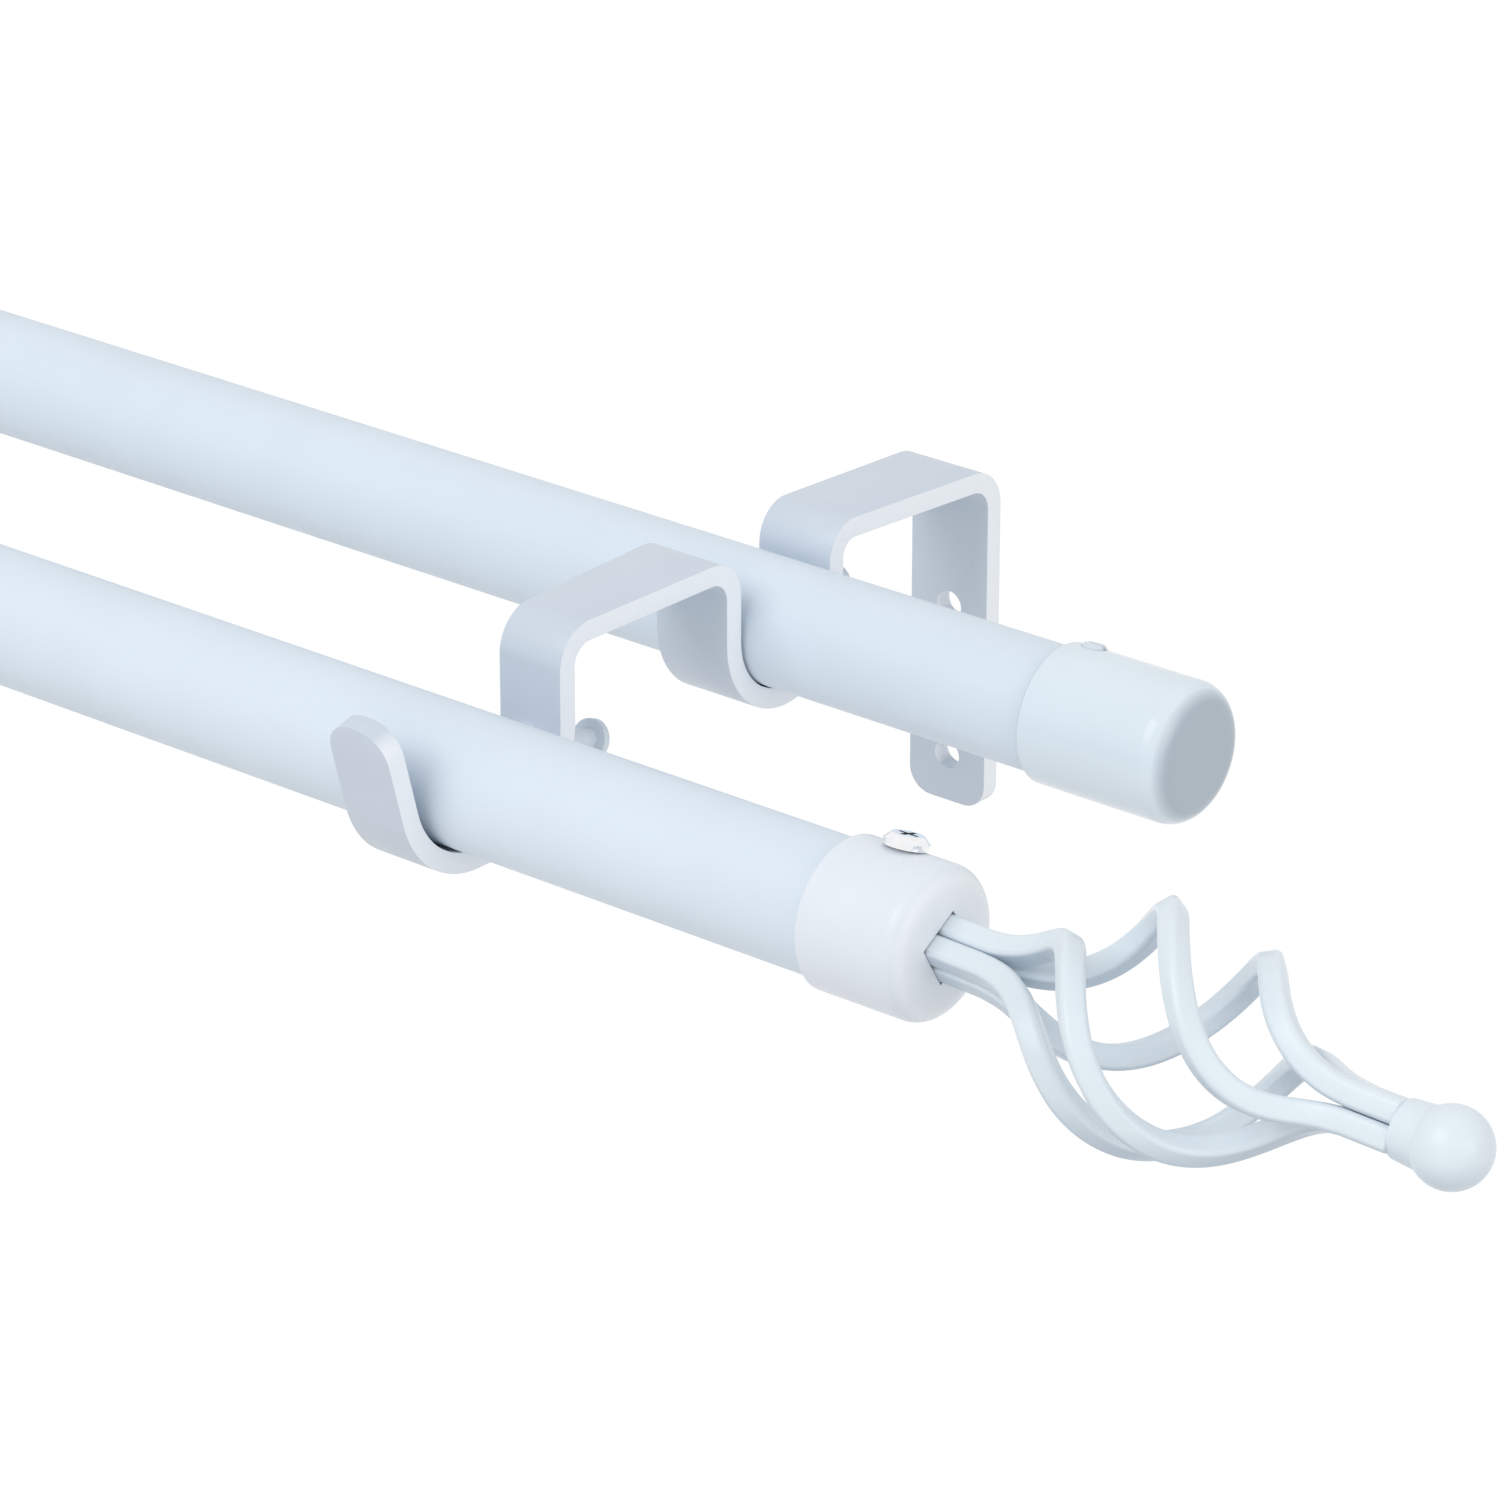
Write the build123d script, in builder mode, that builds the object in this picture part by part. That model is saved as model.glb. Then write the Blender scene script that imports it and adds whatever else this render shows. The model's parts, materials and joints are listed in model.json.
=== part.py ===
from build123d import *
import os
from math import cos, pi, radians, sin

# Double curtain rod, in millimetres. X runs along the rods towards the finished right-hand end,
# Y = 0 is the wall and the room is at -Y, and Z is up. The origin is the middle of the right
# bracket's two wall holes, on the wall.

# Setting out
bracket_spacing = 540.0
back_cradle_depth = 48.7       # from the wall to the middle of the back cradle
front_cradle_depth = 110.2     # from the wall to the middle of the front cradle

# Tubes
tube_wall = 0.8
front_rod_diameter = 19.0
back_rod_diameter = 18.2
slide_gap = 0.08               # radial gap between an inner and an outer tube
extension = 508.0              # how far each rod pulls out
least_overlap = 100.0          # inner tube left in the outer one at full extension
closed_gap = 0.5               # between an outer tube and the left-hand fittings, when closed
end_gap = 0.2                  # between a tube's end and the fitting's end wall

# Bracket strip
strip_thickness = 3.0
strip_width_wall = 14.0
strip_width_back = 13.0        # at the back cradle
strip_width_front = 11.0       # at the front cradle
tip_width = 10.4
plate_low = -19.4              # the wall plate's lower end
arm_height = 33.6              # centre line of the arm, above the holes, at the wall
arm_rise = 2.2                 # by which the arm climbs to the back cradle
arch_height = 37.7             # centre line of the arch between the cradles
plate_bend = 5.0               # centre-line radii of the bends
arm_bend = 4.0
arch_bend = 4.6
plate_end_radius = 3.9
cradle_gap = 0.2               # under each rod, where it bears on its cradle
back_cradle_height = 26.0      # centre of the back cradle's curve
back_cradle_radius = 9.8       # inside
front_cradle_height = 25.24    # centres of the front cradle's two curves
front_cradle_radius = 12.1     # inside
front_cradle_flat = 4.8        # level length between the two curves
tip_flare = 15.0               # degrees that the front leg leans out
tip_length = 14.5              # straight part of the front leg
tip_flat = 0.4                 # half the flat left between the tip's round corners

# Wall holes
hole_spacing = 24.0
wall_hole_diameter = 4.5

# Lock screws
lock_screw_diameter = 3.0
lock_screw_gap = 0.05
lock_screw_length_front = 20.0
lock_screw_length_back = 9.0
lock_screw_angle_front = 19.0  # degrees below level, square to the strip there
lock_screw_angle_back = 6.0
lock_screw_rise_front = 5.0    # from a rod's axis up to the screw's axis, above the rod's axis
lock_screw_rise_back = 0.5
screw_head_diameter = 5.8
screw_head_height = 2.0
head_chamfer = 0.9
screw_point = 0.4              # chamfer at a screw's tip
recess_length = 3.0
recess_width = 0.7
recess_depth = 0.9
tip_clearance = 0.1            # between a screw's tip and the tube that it locks
collar_ring_diameter = 4.6     # raised ring round the tapped hole
collar_ring_height = 1.2

# Finial
collar_position = 68.8         # from the bracket's middle to the collar's open rim
collar_diameter = 21.2
collar_length = 17.0
collar_end_wall = 3.0
collar_front_radius = 2.7
rim_chamfer = 0.6
push_fit = 0.1                 # radial gap of a collar or cap on its tube
bar_size = 3.4
bar_corner = 0.55
bar_gap = 0.1                  # between the bars of the bundle
bundle_fit = 0.1               # round the bundle in the collar's hole
bar_root = 3.0                 # length of the bars inside the collar's cavity
cage_start = 6.5               # from the collar's face
cage_length = 57.4
cage_radius = 15.7             # to the bars' centre line
cage_fullness = 2.0            # power of the sine that the bars swell by
cage_phase = 76                # degrees of the first bar before the twist
cage_twist = 212               # degrees from one end of the cage to the other
cage_twist_spread = 0.35       # 0 keeps the twist to the middle, more spreads it to the ends
bar_tail = 6.9                 # straight end beyond the cage
basket_droop = 2.1             # degrees that the bars and ball hang below the rod's line
ball_diameter = 10.8
ball_neck_diameter = 8.0       # where it meets the bars
ball_neck_waist = 8.6          # where it meets the ball
ball_distance = 6.9            # from the bars' ends to the ball's centre
path_step = 0.001              # fraction of the cage over which a bar's direction is taken
bar_stations = 15              # sections through each bar's swelling part
finial_screw_setback = 9.5     # from the collar's face
finial_screw_diameter = 3.0
finial_screw_head_diameter = 6.2
finial_screw_head_height = 1.7
finial_screw_standoff = 0.2    # of the head above the collar
set_screw_lean = 18.0          # degrees from the top towards the wall

# End cap
cap_position = 54.8
cap_diameter = 20.2
cap_length = 24.3
cap_end_wall = 2.0
cap_front_radius = 3.6
cap_screw_setback = 3.6        # from the cap's open rim
cap_screw_diameter = 3.6
cap_screw_proud = 0.5

# Derived sizes
front_radius = front_rod_diameter / 2
back_radius = back_rod_diameter / 2
half_thickness = strip_thickness / 2
back_bend = back_cradle_radius + half_thickness
front_bend = front_cradle_radius + half_thickness
front_inner_radius = front_radius - tube_wall - slide_gap
back_inner_radius = back_radius - tube_wall - slide_gap
bundle_radius = (bar_size + bar_gap) / 2 ** 0.5

# Each rod lies at the bottom of its cradle, the front one against the front curve
front_offset = front_cradle_radius - front_radius - cradle_gap
back_offset = back_cradle_radius - back_radius - cradle_gap
front_rod_y = -front_cradle_depth - front_cradle_flat / 2
front_rod_z = front_cradle_height - front_offset
back_rod_y = -back_cradle_depth
back_rod_z = back_cradle_height - back_offset


def screw_tip(rod_radius, rise, screw_angle):
    """How far along its axis from above the rod a lock screw's flat tip stops, just short of the rod."""
    lean = radians(screw_angle)
    beside = max(0, rise * cos(lean) - lock_screw_diameter / 2 + screw_point)
    return rise * sin(lean) + (rod_radius ** 2 - beside ** 2) ** 0.5 + tip_clearance


front_screw_tip = screw_tip(front_radius, lock_screw_rise_front, lock_screw_angle_front)
back_screw_tip = screw_tip(back_radius, lock_screw_rise_back, lock_screw_angle_back)

# Each lock screw's axis: its depth and height over the rod's axis, and its angle
front_screw_axis = (front_rod_y, front_rod_z + lock_screw_rise_front, lock_screw_angle_front)
back_screw_axis = (back_rod_y, back_rod_z + lock_screw_rise_back, lock_screw_angle_back)

# Along each lock screw, from above the rod to the strip it passes through
front_leg_distance = (front_cradle_flat + front_bend) / cos(radians(lock_screw_angle_front))
back_leg_distance = back_bend / cos(radians(lock_screw_angle_back))

os.makedirs("parts", exist_ok=True)


def save(piece, name):
    """Label a finished piece and write its file."""
    piece.part.label = name
    export_step(piece.part, f"parts/{name}.step")


def rod_end(side, position, y, z):
    """A plane at a fitting's open rim, its normal pointing out of the rod and its Y up."""
    x = position if side == "right" else -bracket_spacing - position
    out = 1 if side == "right" else -1
    return Plane(origin=(x, y, z), x_dir=(0, out, 0), z_dir=(out, 0, 0))


def section_of(end):
    """The plane through a rod's axis, with X along the rod and Y up."""
    return Plane(origin=end.origin, x_dir=end.z_dir, z_dir=-end.x_dir)


def screw_plane(end, along, radius, side):
    """A plane square to a set screw, its normal pointing out, at a radius from the rod's axis."""
    lean = set_screw_lean if side == "right" else -set_screw_lean
    angle = radians(90 - lean)
    out = end.x_dir * cos(angle) + end.y_dir * sin(angle)
    origin = end.origin + end.z_dir * along + out * radius
    return Plane(origin=origin, x_dir=end.z_dir, z_dir=out)


def lock_screw_plane(x, start, distance):
    """The plane square to a lock screw, at a distance from above the rod towards the wall."""
    y, z, angle = start
    tilt = radians(angle)
    toward_wall = Vector(0, cos(tilt), -sin(tilt))
    origin = Vector(x, y, z) + toward_wall * distance
    return Plane(origin=origin, x_dir=(1, 0, 0), z_dir=toward_wall)


def make_bracket(x):
    """One strip, bent into a wall plate, an arm and two open cradles."""
    profile = Plane(origin=(x, 0, 0), x_dir=(0, 1, 0), z_dir=(1, 0, 0))
    plate_y = -half_thickness
    back_leg_y = -back_cradle_depth + back_bend
    back_front_leg_y = -back_cradle_depth - back_bend
    arch_front_y = -front_cradle_depth + front_cradle_flat / 2
    front_leg_y = arch_front_y + front_bend
    tip_y = front_rod_y - front_bend - tip_length
    with BuildPart() as bracket:
        with BuildSketch(profile):
            with BuildLine():
                FilletPolyline(
                    (plate_y, plate_low),
                    (plate_y, arm_height),
                    (back_leg_y, arm_height + arm_rise),
                    (back_leg_y, back_cradle_height),
                    radius=[plate_bend, arm_bend],
                )
                CenterArc((-back_cradle_depth, back_cradle_height), back_bend, 0, -180)
                FilletPolyline(
                    (back_front_leg_y, back_cradle_height),
                    (back_front_leg_y, arch_height),
                    (front_leg_y, arch_height),
                    (front_leg_y, front_cradle_height),
                    radius=arch_bend,
                )
                CenterArc((arch_front_y, front_cradle_height), front_bend, 0, -90)
                Line(
                    (arch_front_y, front_cradle_height - front_bend),
                    (front_rod_y, front_cradle_height - front_bend),
                )
                front_curve = CenterArc(
                    (front_rod_y, front_cradle_height), front_bend, -90, tip_flare - 90
                )
                front_leg = PolarLine(front_curve @ 1, tip_length, angle=90 + tip_flare)
            trace(line_width=strip_thickness)
        extrude(amount=strip_width_wall / 2, both=True)
        tip_end = profile.from_local_coords(front_leg @ 1)

        # The strip narrows from the wall to its tip, seen from above
        with BuildSketch(Plane(origin=(x, 0, plate_low))):
            with BuildLine():
                half_outline = Polyline(
                    (0, 0),
                    (strip_width_wall / 2, 0),
                    (strip_width_wall / 2, -strip_thickness),
                    (strip_width_back / 2, back_leg_y),
                    (strip_width_back / 2, back_front_leg_y),
                    (strip_width_front / 2, front_leg_y),
                    (tip_width / 2, tip_y),
                    (0, tip_y),
                )
                mirror(half_outline, about=Plane.YZ)
            make_face()
        extrude(amount=arch_height - plate_low + strip_thickness, mode=Mode.INTERSECT)

        # Rounded lower end and rounded tip
        plate_corners = bracket.edges().filter_by(Axis.Y).group_by(Axis.Z)[0]
        fillet(plate_corners, plate_end_radius)
        tip_face = bracket.faces().sort_by(lambda face: (face.center() - tip_end).length)[0]
        fillet(tip_face.edges().sort_by(Edge.length)[:2], tip_width / 2 - tip_flat)

        # Wall holes, one above the other
        with BuildSketch(Plane(origin=(x, 0, 0), x_dir=(1, 0, 0), z_dir=(0, -1, 0))):
            with GridLocations(0, hole_spacing, 1, 2):
                Circle(wall_hole_diameter / 2)
        extrude(amount=strip_thickness, mode=Mode.SUBTRACT)

        # The front lock screw's tapped hole has a raised ring on the rod's side
        with BuildSketch(lock_screw_plane(x, front_screw_axis, front_leg_distance)):
            Circle(collar_ring_diameter / 2)
        extrude(amount=-collar_ring_height - half_thickness)
        for screw_axis, distance in (
            (front_screw_axis, front_leg_distance),
            (back_screw_axis, back_leg_distance),
        ):
            with BuildSketch(lock_screw_plane(x, screw_axis, distance)):
                Circle(lock_screw_diameter / 2 + lock_screw_gap)
            extrude(amount=collar_ring_height + strip_thickness, both=True, mode=Mode.SUBTRACT)
    return bracket


def make_tube(radius, wall, x_from, x_to, y, z):
    """A straight tube along X."""
    with BuildPart() as tube:
        with BuildSketch(Plane(origin=(x_from, y, z), x_dir=(0, 1, 0), z_dir=(1, 0, 0))):
            Circle(radius)
            Circle(radius - wall, mode=Mode.SUBTRACT)
        extrude(amount=x_to - x_from)
    return tube


def make_pan_screw(under_head, shank_diameter, shank_length, head_diameter, head_height):
    """A cross-recessed pan-head screw, from the plane under its head, whose normal points out."""
    head_top = under_head.offset(head_height)
    shank_tip = under_head.offset(-shank_length)
    with BuildPart() as screw:
        with BuildSketch(under_head):
            Circle(head_diameter / 2)
        extrude(amount=head_height)
        rims = screw.edges().filter_by(GeomType.CIRCLE)
        chamfer(rims.sort_by_distance(head_top.origin)[0], head_chamfer)
        with BuildSketch(shank_tip):
            Circle(shank_diameter / 2)
        extrude(amount=shank_length)
        rims = screw.edges().filter_by(GeomType.CIRCLE)
        chamfer(rims.sort_by_distance(shank_tip.origin)[0], screw_point)
        with BuildSketch(head_top):
            Rectangle(recess_length, recess_width)
            Rectangle(recess_width, recess_length)
        extrude(amount=-recess_depth, mode=Mode.SUBTRACT)
    return screw


def make_grub_screw(inner_end, diameter, length):
    """A slotted headless screw, from the plane of its inner end, whose normal points out."""
    with BuildPart() as screw:
        with BuildSketch(inner_end):
            Circle(diameter / 2)
        extrude(amount=length)
        chamfer(screw.edges().filter_by(GeomType.CIRCLE), screw_point)
        with BuildSketch(inner_end.offset(length)):
            Rectangle(diameter, recess_width)
        extrude(amount=-recess_depth, mode=Mode.SUBTRACT)
    return screw


def make_cup(end, diameter, length, end_wall, tube_radius, front_radius, hole_half, screw_hole):
    """A round cup over a tube's end, from its open rim: the finial's collar or the end cap."""
    outside = diameter / 2
    bore = tube_radius + push_fit
    with BuildPart() as cup:
        with BuildSketch(end):
            Circle(outside)
        extrude(amount=length)
        rims = cup.edges().filter_by(GeomType.CIRCLE).sort_by_distance(end.origin)
        chamfer(rims[0], rim_chamfer)
        rims = cup.edges().filter_by(GeomType.CIRCLE).sort_by_distance(end.origin)
        fillet(rims[-1], front_radius)
        with BuildSketch(end):
            Circle(bore)
        extrude(amount=length - end_wall, mode=Mode.SUBTRACT)
        if hole_half > 0:
            with BuildSketch(end.offset(length)):
                Rectangle(2 * hole_half, 2 * hole_half, rotation=cage_phase - 45)
            extrude(amount=-end_wall, mode=Mode.SUBTRACT)
        screw_side, screw_diameter = screw_hole
        with BuildSketch(screw_side):
            Circle(screw_diameter / 2 + lock_screw_gap)
        extrude(amount=-outside, mode=Mode.SUBTRACT)
    return cup


def drooping_end(end):
    """A rod end turned down by the basket's droop, about the middle of the collar's end wall."""
    to_pivot = collar_length - collar_end_wall / 2
    axis = end.z_dir * cos(radians(basket_droop)) - Vector(0, 0, sin(radians(basket_droop)))
    return Plane(origin=end.origin + (end.z_dir - axis) * to_pivot, x_dir=end.x_dir, z_dir=axis)


def bar_path(end, t):
    """A bar's distance from the axis and its turn, at a fraction t of the cage's length."""
    swell = sin(pi * t) ** cage_fullness if 0 < t < 1 else 0.0
    middle = (1 - cage_twist_spread) * sin(2 * pi * t) / (2 * pi)
    spread = cage_twist_spread * sin(4 * pi * t) / (4 * pi)
    turn = cage_twist * (t - middle - spread)
    return bundle_radius + (cage_radius - bundle_radius) * swell, turn


def bar_point(end, order, t):
    """A point on a bar's centre line, at a fraction t of the cage's length."""
    radius, turn = bar_path(end, t)
    angle = radians(cage_phase + order * 90 + turn)
    along = collar_length + cage_start + cage_length * t
    return end.origin + end.z_dir * along + (end.x_dir * cos(angle) + end.y_dir * sin(angle)) * radius


def bar_section(end, order, t):
    """The plane square to a bar, with its X along the outward corner of the bar."""
    point = bar_point(end, order, t)
    if 0 < t < 1:
        tangent = bar_point(end, order, t + path_step) - bar_point(end, order, t - path_step)
    else:
        tangent = end.z_dir
    axis_foot = end.origin + end.z_dir * (point - end.origin).dot(end.z_dir)
    outward = (point - axis_foot).normalized()
    tangent = tangent.normalized()
    outward = (outward - tangent * outward.dot(tangent)).normalized()
    return Plane(origin=point, x_dir=outward, z_dir=tangent)


def draw_bar_section():
    """The section of a bar: a square on its corner, with broken corners."""
    square = Rectangle(bar_size, bar_size, rotation=45)
    chamfer(square.vertices(), bar_corner)


def make_bar(end, order):
    """One square bar of the finial: straight in the collar, then swelling and twisting, then straight."""
    root_length = cage_start + collar_end_wall + bar_root
    with BuildPart() as bar:
        for station in range(bar_stations):
            with BuildSketch(bar_section(end, order, station / (bar_stations - 1))):
                draw_bar_section()
        loft()
        for t, length in ((0.0, -root_length), (1.0, bar_tail)):
            along_bar = bar_section(end, order, t)
            with BuildSketch(Plane(origin=along_bar.origin, x_dir=along_bar.x_dir, z_dir=end.z_dir)):
                draw_bar_section()
            extrude(amount=length)
    return bar


def make_ball(end):
    """The finial's ball, with a short neck that the bars' ends meet."""
    neck_end = end.offset(collar_length + cage_start + cage_length + bar_tail)
    radius = ball_diameter / 2
    neck_length = ball_distance - (radius ** 2 - (ball_neck_waist / 2) ** 2) ** 0.5
    with BuildPart() as ball:
        with BuildSketch(section_of(neck_end)):
            with BuildLine():
                Polyline(
                    (ball_distance + radius, 0),
                    (0, 0),
                    (0, ball_neck_diameter / 2),
                    (neck_length, ball_neck_waist / 2),
                )
                ThreePointArc(
                    (neck_length, ball_neck_waist / 2),
                    (ball_distance, radius),
                    (ball_distance + radius, 0),
                )
            make_face()
        revolve(axis=Axis(end.origin, end.z_dir))
    return ball



outer_start_front = -bracket_spacing - collar_position + closed_gap
outer_start_back = -bracket_spacing - cap_position + closed_gap
collar_inside = collar_length - collar_end_wall
cap_inside = cap_length - cap_end_wall

# Front rod: outer tube in both brackets, inner tube that pulls out with the left finial
save(
    make_tube(
        front_radius,
        tube_wall,
        outer_start_front,
        collar_position + collar_inside - end_gap,
        front_rod_y,
        front_rod_z,
    ),
    "front_outer_tube",
)
save(
    make_tube(
        front_inner_radius,
        tube_wall,
        -bracket_spacing - collar_position - collar_inside + end_gap,
        outer_start_front + extension + least_overlap,
        front_rod_y,
        front_rod_z,
    ),
    "front_inner_tube",
)

# Back rod, in the same way, with the left end cap
save(
    make_tube(
        back_radius,
        tube_wall,
        outer_start_back,
        cap_position + cap_inside - end_gap,
        back_rod_y,
        back_rod_z,
    ),
    "back_outer_tube",
)
save(
    make_tube(
        back_inner_radius,
        tube_wall,
        -bracket_spacing - cap_position - cap_inside + end_gap,
        outer_start_back + extension + least_overlap,
        back_rod_y,
        back_rod_z,
    ),
    "back_inner_tube",
)

for side, bracket_x in (("right", 0.0), ("left", -bracket_spacing)):
    save(make_bracket(bracket_x), f"{side}_bracket")

    # Lock screws: their tips stop just short of the rods
    front_head = lock_screw_plane(bracket_x, front_screw_axis, front_screw_tip + lock_screw_length_front)
    back_head = lock_screw_plane(bracket_x, back_screw_axis, back_screw_tip + lock_screw_length_back)
    save(
        make_pan_screw(
            front_head,
            lock_screw_diameter,
            lock_screw_length_front,
            screw_head_diameter,
            screw_head_height,
        ),
        f"{side}_front_lock_screw",
    )
    save(
        make_pan_screw(
            back_head,
            lock_screw_diameter,
            lock_screw_length_back,
            screw_head_diameter,
            screw_head_height,
        ),
        f"{side}_back_lock_screw",
    )

    # Finial: collar, four twisted bars and a ball
    tube_radius = front_radius if side == "right" else front_inner_radius
    collar_end = rod_end(side, collar_position, front_rod_y, front_rod_z)
    screw_along = collar_length - finial_screw_setback
    finial_screw_head = screw_plane(
        collar_end, screw_along, collar_diameter / 2 + finial_screw_standoff, side
    )
    save(
        make_cup(
            collar_end,
            collar_diameter,
            collar_length,
            collar_end_wall,
            tube_radius,
            collar_front_radius,
            bar_size + bar_gap / 2 + bundle_fit,
            (finial_screw_head, finial_screw_diameter),
        ),
        f"{side}_finial_collar",
    )
    basket_end = drooping_end(collar_end)
    for order in range(4):
        save(make_bar(basket_end, order), f"{side}_finial_bar_{order + 1}")
    save(make_ball(basket_end), f"{side}_finial_ball")
    save(
        make_pan_screw(
            finial_screw_head,
            finial_screw_diameter,
            collar_diameter / 2 + finial_screw_standoff - tube_radius - tip_clearance,
            finial_screw_head_diameter,
            finial_screw_head_height,
        ),
        f"{side}_finial_set_screw",
    )

    # End cap of the back rod
    tube_radius = back_radius if side == "right" else back_inner_radius
    cap_end = rod_end(side, cap_position, back_rod_y, back_rod_z)
    cap_screw_end = screw_plane(cap_end, cap_screw_setback, tube_radius + tip_clearance, side)
    save(
        make_cup(
            cap_end,
            cap_diameter,
            cap_length,
            cap_end_wall,
            tube_radius,
            cap_front_radius,
            0.0,
            (screw_plane(cap_end, cap_screw_setback, cap_diameter / 2, side), cap_screw_diameter),
        ),
        f"{side}_end_cap",
    )
    save(
        make_grub_screw(
            cap_screw_end,
            cap_screw_diameter,
            cap_diameter / 2 + cap_screw_proud - tube_radius - tip_clearance,
        ),
        f"{side}_cap_set_screw",
    )
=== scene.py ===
import json
import math

import bmesh
import bpy
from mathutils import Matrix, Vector

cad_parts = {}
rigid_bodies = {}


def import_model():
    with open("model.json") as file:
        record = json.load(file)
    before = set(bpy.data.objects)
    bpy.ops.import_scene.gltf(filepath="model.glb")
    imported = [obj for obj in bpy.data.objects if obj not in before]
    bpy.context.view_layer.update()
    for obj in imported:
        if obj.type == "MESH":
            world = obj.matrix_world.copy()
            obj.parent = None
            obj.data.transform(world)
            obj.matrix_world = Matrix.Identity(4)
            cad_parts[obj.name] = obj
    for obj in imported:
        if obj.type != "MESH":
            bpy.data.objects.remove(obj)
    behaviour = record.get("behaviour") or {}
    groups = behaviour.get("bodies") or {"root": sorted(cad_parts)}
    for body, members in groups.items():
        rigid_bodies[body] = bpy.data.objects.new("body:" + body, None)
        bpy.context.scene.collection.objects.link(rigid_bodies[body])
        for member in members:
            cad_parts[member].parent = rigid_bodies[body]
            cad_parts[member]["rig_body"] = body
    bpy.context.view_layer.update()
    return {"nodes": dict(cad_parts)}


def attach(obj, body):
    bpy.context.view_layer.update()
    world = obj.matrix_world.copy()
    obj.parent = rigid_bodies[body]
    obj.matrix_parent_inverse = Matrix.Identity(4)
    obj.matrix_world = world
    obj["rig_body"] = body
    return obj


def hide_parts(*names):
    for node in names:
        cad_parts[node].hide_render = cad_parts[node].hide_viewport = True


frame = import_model()
nodes = frame["nodes"]
sides = ("right", "left")


# Materials

noise_low = 0.3                # most of a noise texture's values lie between these two
noise_high = 0.7
drift_scale = 45.0             # noise scales are in bumps to the metre
gloss_scale = 160.0
wave_scale = 250.0
mark_scale = 900.0
bump_height = 0.00002          # metres
drift_shade = 0.965            # of the coat's colour, where its drift is deepest
gloss_spread = 0.15            # of the coat's roughness, either way
painted_end_shading_start = 0.55               # size of the normal's X where the painted end shading starts
painted_end_shading_full = 0.92                # and where it is full
painted_under_shade_start = 0.05             # the normal's Z where the painted under shade starts
painted_under_shade_full = -0.55             # and where it is full


def new_material(name):
    """An empty node material with a Principled shader."""
    material = bpy.data.materials.new(name)
    material.use_nodes = True
    tree = material.node_tree
    tree.nodes.clear()
    output = tree.nodes.new("ShaderNodeOutputMaterial")
    shader = tree.nodes.new("ShaderNodeBsdfPrincipled")
    tree.links.new(shader.outputs["BSDF"], output.inputs["Surface"])
    return material, tree, shader


def noise(tree, coordinates, scale, detail, roughness):
    """The value of a noise texture in object space."""
    texture = tree.nodes.new("ShaderNodeTexNoise")
    texture.inputs["Scale"].default_value = scale
    texture.inputs["Detail"].default_value = detail
    texture.inputs["Roughness"].default_value = roughness
    tree.links.new(coordinates.outputs["Object"], texture.inputs["Vector"])
    return texture.outputs["Fac"]


def ramp(tree, value, start, full, low=0.0, high=1.0):
    """Goes from low to high as the value goes from start to full."""
    node = tree.nodes.new("ShaderNodeMapRange")
    node.inputs["From Min"].default_value = start
    node.inputs["From Max"].default_value = full
    node.inputs["To Min"].default_value = low
    node.inputs["To Max"].default_value = high
    tree.links.new(value, node.inputs["Value"])
    return node.outputs["Result"]


def mix_colours(tree, factor, first, second):
    """Mixes two colours, each a tuple or a socket, by a factor socket."""
    node = tree.nodes.new("ShaderNodeMix")
    node.data_type = "RGBA"
    tree.links.new(factor, node.inputs["Factor"])
    for socket, colour in ((node.inputs["A"], first), (node.inputs["B"], second)):
        if isinstance(colour, tuple):
            socket.default_value = (*colour, 1.0)
        else:
            tree.links.new(colour, socket)
    return node.outputs["Result"]


def add_bump(tree, shader, height, strength):
    """Low bumps from a height socket."""
    bump = tree.nodes.new("ShaderNodeBump")
    bump.inputs["Strength"].default_value = strength
    bump.inputs["Distance"].default_value = bump_height
    tree.links.new(height, bump.inputs["Height"])
    tree.links.new(bump.outputs["Normal"], shader.inputs["Normal"])


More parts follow.
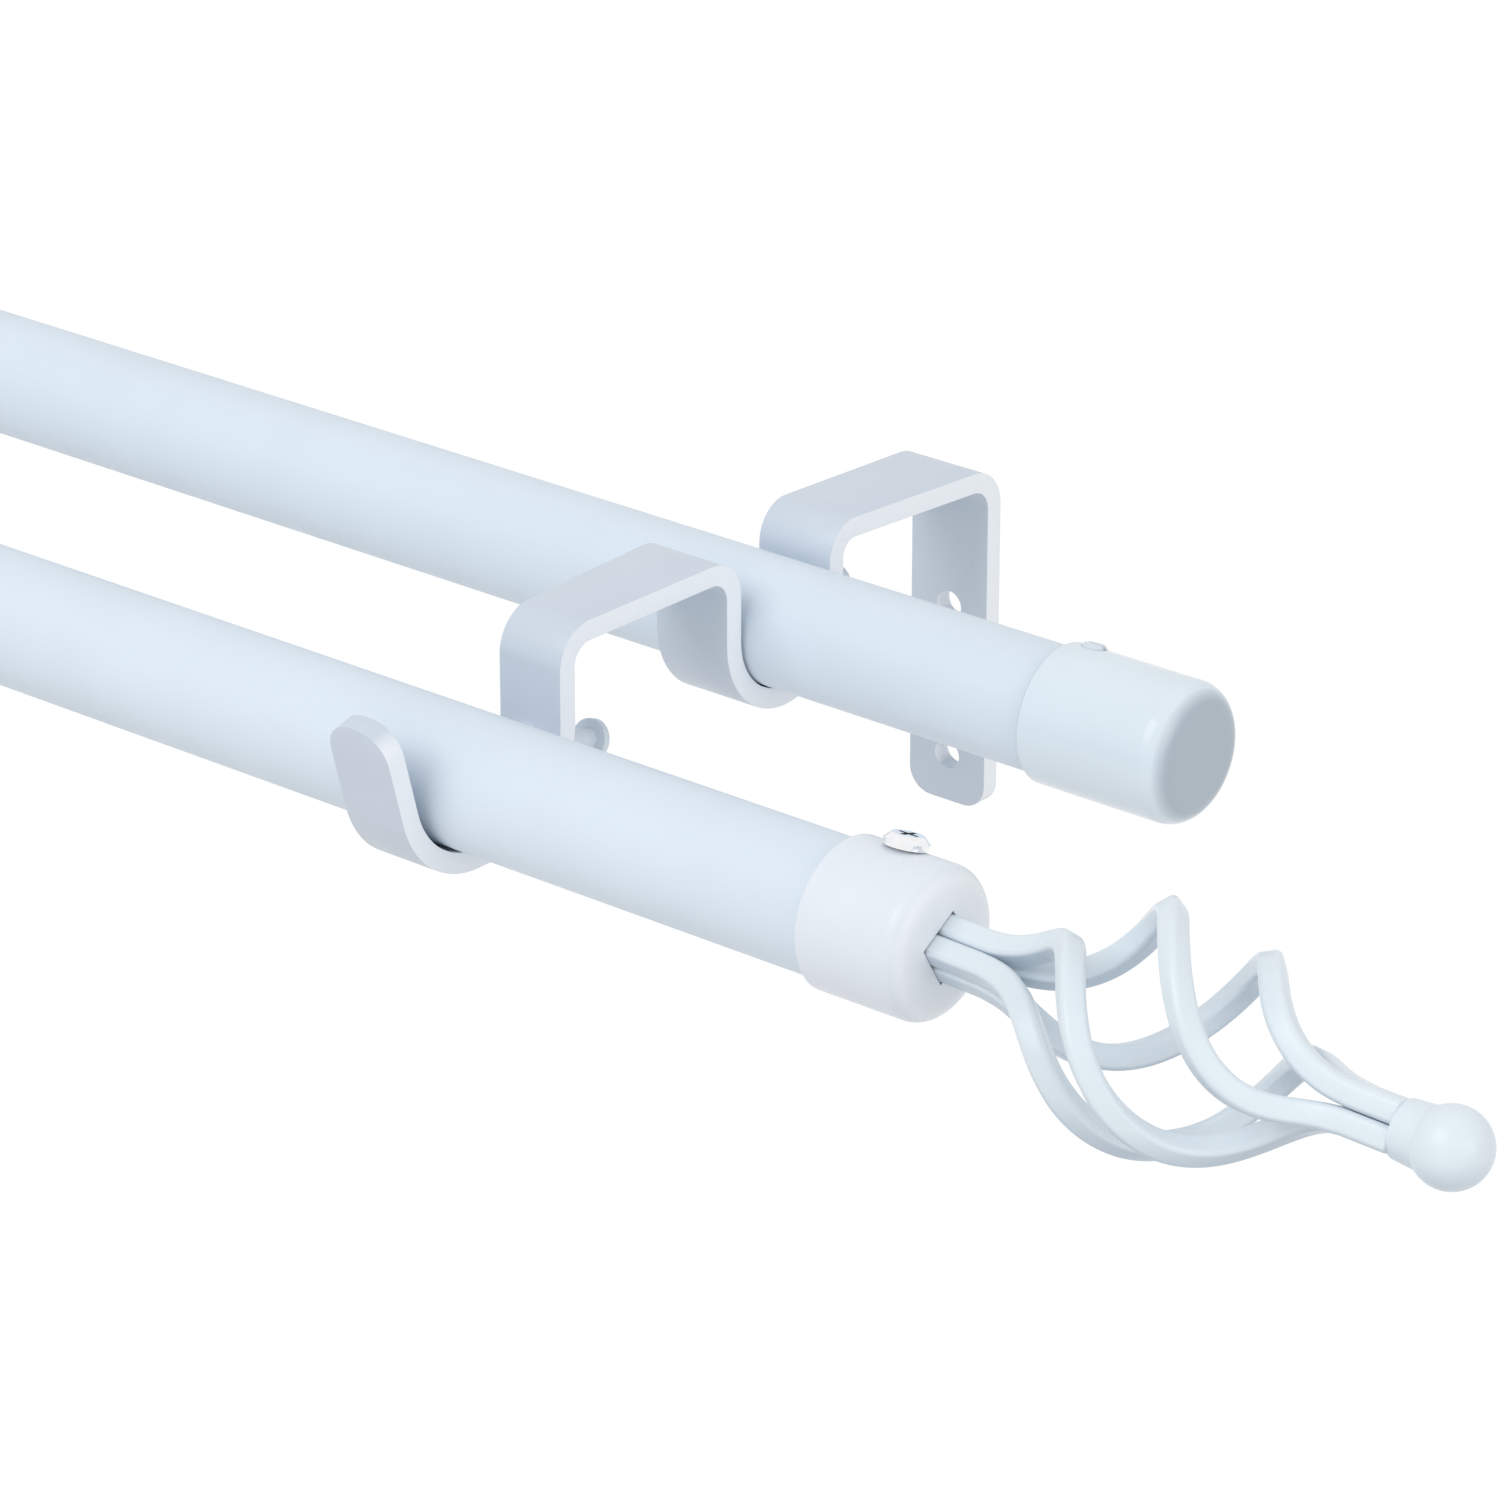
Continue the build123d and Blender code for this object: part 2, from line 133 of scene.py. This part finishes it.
def white_coat(name, colour, roughness, peel, shine=0.15, painted_end_shading=None, painted_under_shade=None):
    """Baked white paint: a faint drift of colour, uneven gloss, and the low waves of a sprayed coat.

    Faces square to the rods take a painted end shading, lighter or darker as its colour is set, and faces
    turned down take a painted under shade.
    """
    material, tree, shader = new_material(name)
    coordinates = tree.nodes.new("ShaderNodeTexCoord")
    drift = noise(tree, coordinates, drift_scale, 3.0, 0.55)
    shade = tuple(c * drift_shade for c in colour)
    coat = mix_colours(tree, ramp(tree, drift, noise_low, noise_high), shade, colour)
    geometry = tree.nodes.new("ShaderNodeNewGeometry")
    normal = tree.nodes.new("ShaderNodeSeparateXYZ")
    tree.links.new(geometry.outputs["Normal"], normal.inputs["Vector"])
    # Painted light and shade: faces pointing along the rods get a set colour, lighter or darker than the
    # coat, in place of lamp light and shade.
    if painted_end_shading:
        along = tree.nodes.new("ShaderNodeMath")
        along.operation = "ABSOLUTE"
        tree.links.new(normal.outputs["X"], along.inputs[0])
        painted_end_shading_mask = ramp(tree, along.outputs["Value"], painted_end_shading_start, painted_end_shading_full)
        coat = mix_colours(tree, painted_end_shading_mask, coat, painted_end_shading)
    # Painted shade: faces turned down get a deeper colour, as if in shadow.
    if painted_under_shade:
        painted_under_shade_mask = ramp(tree, normal.outputs["Z"], painted_under_shade_start, painted_under_shade_full)
        coat = mix_colours(tree, painted_under_shade_mask, coat, painted_under_shade)
    tree.links.new(coat, shader.inputs["Base Color"])
    gloss = noise(tree, coordinates, gloss_scale, 4.0, 0.6)
    smooth = roughness * (1.0 - gloss_spread)
    dull = roughness * (1.0 + gloss_spread)
    tree.links.new(
        ramp(tree, gloss, noise_low, noise_high, smooth, dull),
        shader.inputs["Roughness"],
    )
    add_bump(tree, shader, noise(tree, coordinates, wave_scale, 0.0, 0.5), peel)
    shader.inputs["Specular IOR Level"].default_value = 0.22
    shader.inputs["Coat Weight"].default_value = shine
    shader.inputs["Coat Roughness"].default_value = 0.12
    return material


def bright_metal(name, deep, light):
    """Plated steel with fine turning marks."""
    material, tree, shader = new_material(name)
    coordinates = tree.nodes.new("ShaderNodeTexCoord")
    marks = noise(tree, coordinates, mark_scale, 1.0, 0.6)
    tone = mix_colours(tree, ramp(tree, marks, noise_low, noise_high), deep, light)
    tree.links.new(tone, shader.inputs["Base Color"])
    shader.inputs["Metallic"].default_value = 1.0
    tree.links.new(
        ramp(tree, marks, noise_low, noise_high, 0.06, 0.14),
        shader.inputs["Roughness"],
    )
    add_bump(tree, shader, marks, 0.25)
    return material


rod_coat = white_coat("rod_coat", (0.73, 0.82, 0.91), 0.45, 0.25, shine=0.0)
# The strip's end colour is painted light: its side edges are lighter than its faces.
strip_coat = white_coat("strip_coat", (0.63, 0.70, 0.79), 0.40, 0.35, painted_end_shading=(0.91, 0.95, 1.00))
# The collar's end colour is painted light on its end face.
collar_coat = white_coat("collar_coat", (0.81, 0.86, 0.93), 0.38, 0.30, painted_end_shading=(0.90, 0.94, 0.98))
# The bars' and the ball's under colours are painted shade on their faces turned down.
bar_coat = white_coat("bar_coat", (0.77, 0.85, 0.91), 0.30, 0.08, painted_under_shade=(0.54, 0.63, 0.72))
ball_coat = white_coat("ball_coat", (0.77, 0.85, 0.91), 0.30, 0.08, painted_under_shade=(0.64, 0.73, 0.81))
# The cap's end colour is painted shade: its end face is darker than its side.
cap_coat = white_coat("cap_coat", (0.75, 0.84, 0.91), 0.20, 0.15, painted_end_shading=(0.45, 0.52, 0.59))
screw_coat = white_coat("screw_coat", (0.70, 0.77, 0.84), 0.28, 0.15)
metal = bright_metal("bright_plate", (0.86, 0.87, 0.88), (0.92, 0.92, 0.93))


# Rounded edges and paint on the pieces

weld_distance = 0.000002       # metres
flat_angle = 0.5               # degrees, under which facets are joined
crease_angle = 40              # degrees, over which an edge is shown sharp
strip_round = 0.00045          # metres
strip_round_angle = 35.0       # degrees, over which an edge is rounded
bar_round = 0.0004
bar_round_angle = 25.0
round_segments = 3


def dress(obj, material):
    """Gives an object one material."""
    obj.data.materials.clear()
    obj.data.materials.append(material)


def softened(node, width, angle):
    """A copy of a CAD node with its sharp edges rounded, in the node's place."""
    source = nodes[node]
    mesh = source.data.copy()
    mesh.name = node + "_soft"
    piece = bpy.data.objects.new(node + "_soft", mesh)
    bpy.context.scene.collection.objects.link(piece)
    work = bmesh.new()
    work.from_mesh(mesh)
    bmesh.ops.remove_doubles(work, verts=work.verts, dist=weld_distance)
    bmesh.ops.dissolve_limit(
        work,
        angle_limit=math.radians(flat_angle),
        verts=work.verts,
        edges=work.edges,
    )
    work.to_mesh(mesh)
    work.free()
    old_normals = mesh.attributes.get("custom_normal")
    if old_normals:
        mesh.attributes.remove(old_normals)
    bevel = piece.modifiers.new("round", "BEVEL")
    bevel.width = width
    bevel.segments = round_segments
    bevel.limit_method = "ANGLE"
    bevel.angle_limit = math.radians(angle)
    bevel.harden_normals = False
    bevel.use_clamp_overlap = True
    bpy.context.view_layer.update()
    graph = bpy.context.evaluated_depsgraph_get()
    rounded = bpy.data.meshes.new_from_object(piece.evaluated_get(graph))
    piece.modifiers.clear()
    piece.data = rounded
    for polygon in rounded.polygons:
        polygon.use_smooth = True
    work = bmesh.new()
    work.from_mesh(rounded)
    for edge in work.edges:
        edge.smooth = len(edge.link_faces) == 2 and edge.calc_face_angle() < math.radians(crease_angle)
    work.to_mesh(rounded)
    work.free()
    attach(piece, source["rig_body"])
    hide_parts(node)
    return piece


for side in sides:
    strip = softened(f"{side}_bracket", strip_round, strip_round_angle)
    dress(strip, strip_coat)
    dress(nodes[f"{side}_finial_collar"], collar_coat)
    dress(nodes[f"{side}_end_cap"], cap_coat)
    dress(nodes[f"{side}_finial_ball"], ball_coat)
    for number in range(1, 5):
        bar = softened(f"{side}_finial_bar_{number}", bar_round, bar_round_angle)
        dress(bar, bar_coat)
    for name in ("front_lock_screw", "back_lock_screw", "cap_set_screw"):
        dress(nodes[f"{side}_{name}"], screw_coat)
    dress(nodes[f"{side}_finial_set_screw"], metal)
for name in ("front_outer_tube", "back_outer_tube", "front_inner_tube", "back_inner_tube"):
    dress(nodes[name], rod_coat)


# Camera at the photograph's view

azimuth = math.radians(39.76)            # from the front, towards the right-hand finial
elevation = math.radians(23.954)
focal_pixels = 6680.0
image_size = 1500.0
sensor_width = 36.0
reference = Vector((0.0, -0.1157, 0.0248))
reference_pixel = (431.9, 765.9)         # where the reference point shows in the image
reference_depth = 0.8989

back = Vector((
    math.sin(azimuth) * math.cos(elevation),
    -math.cos(azimuth) * math.cos(elevation),
    math.sin(elevation),
))
right = Vector((math.cos(azimuth), math.sin(azimuth), 0.0))
up = back.cross(right)
across = (reference_pixel[0] - image_size / 2) / focal_pixels * reference_depth
above = (image_size / 2 - reference_pixel[1]) / focal_pixels * reference_depth
camera_data = bpy.data.cameras.new("camera")
camera_data.sensor_width = sensor_width
camera_data.lens = focal_pixels / image_size * sensor_width
camera_data.clip_start = 0.05
camera_data.clip_end = 20.0
camera = bpy.data.objects.new("camera", camera_data)
bpy.context.scene.collection.objects.link(camera)
camera.location = reference + back * reference_depth - right * across - up * above
camera.rotation_mode = "QUATERNION"
camera.rotation_quaternion = (-back).to_track_quat("-Z", "Y")
bpy.context.scene.camera = camera


# Floor, world and lights

white = (1.0, 1.0, 1.0, 1.0)
floor_size = 6.0
floor_height = -0.45
floor_grey = 0.80
floor_glow = 1.05              # what the camera sees of the floor, apart from its shadows
floor_glow_share = 0.93
world_light = 0.70
lamp_target = Vector((-0.1, -0.08, 0.02))
lamp_distance = 2.2


def white_share(tree, share):
    """A factor that is the share for the camera and for what mirrors it, and 0 for the light's bounces."""
    path = tree.nodes.new("ShaderNodeLightPath")
    seen = path.outputs["Is Camera Ray"]
    for ray in ("Is Glossy Ray", "Is Transmission Ray"):
        either = tree.nodes.new("ShaderNodeMath")
        either.operation = "MAXIMUM"
        tree.links.new(seen, either.inputs[0])
        tree.links.new(path.outputs[ray], either.inputs[1])
        seen = either.outputs["Value"]
    scaled = tree.nodes.new("ShaderNodeMath")
    scaled.operation = "MULTIPLY"
    scaled.inputs[1].default_value = share
    tree.links.new(seen, scaled.inputs[0])
    return scaled.outputs["Value"]


def mix_shaders(tree, factor, first, second, output):
    """Sends a mix of two shader sockets to an output node."""
    blend = tree.nodes.new("ShaderNodeMixShader")
    tree.links.new(factor, blend.inputs["Fac"])
    tree.links.new(first, blend.inputs[1])
    tree.links.new(second, blend.inputs[2])
    tree.links.new(blend.outputs["Shader"], output.inputs["Surface"])


def add_floor():
    """A plain pale floor that the camera sees as white."""
    bpy.ops.mesh.primitive_plane_add(size=floor_size, location=(0.0, 0.0, floor_height))
    floor = bpy.context.object
    floor.name = "floor"
    material = bpy.data.materials.new("floor")
    material.use_nodes = True
    tree = material.node_tree
    tree.nodes.clear()
    output = tree.nodes.new("ShaderNodeOutputMaterial")
    diffuse = tree.nodes.new("ShaderNodeBsdfDiffuse")
    diffuse.inputs["Color"].default_value = (floor_grey, floor_grey, floor_grey, 1.0)
    glow = tree.nodes.new("ShaderNodeEmission")
    glow.inputs["Color"].default_value = white
    glow.inputs["Strength"].default_value = floor_glow
    factor = white_share(tree, floor_glow_share)
    mix_shaders(tree, factor, diffuse.outputs["BSDF"], glow.outputs["Emission"], output)
    floor.data.materials.append(material)


def light_world():
    """An even world that the camera sees as white."""
    world = bpy.data.worlds.new("world")
    bpy.context.scene.world = world
    world.use_nodes = True
    tree = world.node_tree
    tree.nodes.clear()
    output = tree.nodes.new("ShaderNodeOutputWorld")
    skies = []
    for strength in (world_light, 1.0):
        sky = tree.nodes.new("ShaderNodeBackground")
        sky.inputs["Color"].default_value = white
        sky.inputs["Strength"].default_value = strength
        skies.append(sky.outputs["Background"])
    mix_shaders(tree, white_share(tree, 1.0), skies[0], skies[1], output)


def softbox(name, direction, size, watts):
    """A square area light that faces the right bracket."""
    data = bpy.data.lights.new(name, "AREA")
    data.shape = "SQUARE"
    data.size = size
    data.energy = watts
    lamp = bpy.data.objects.new(name, data)
    bpy.context.scene.collection.objects.link(lamp)
    toward = Vector(direction).normalized()
    lamp.location = lamp_target + toward * lamp_distance
    lamp.rotation_mode = "QUATERNION"
    lamp.rotation_quaternion = (-toward).to_track_quat("-Z", "Y")


add_floor()
light_world()
softbox("key", direction=(-0.12, -0.69, 0.70), size=1.3, watts=15.4)
softbox("side", direction=(0.95, -0.10, 0.30), size=1.2, watts=6.8)

bpy.context.scene.view_settings.view_transform = "Standard"
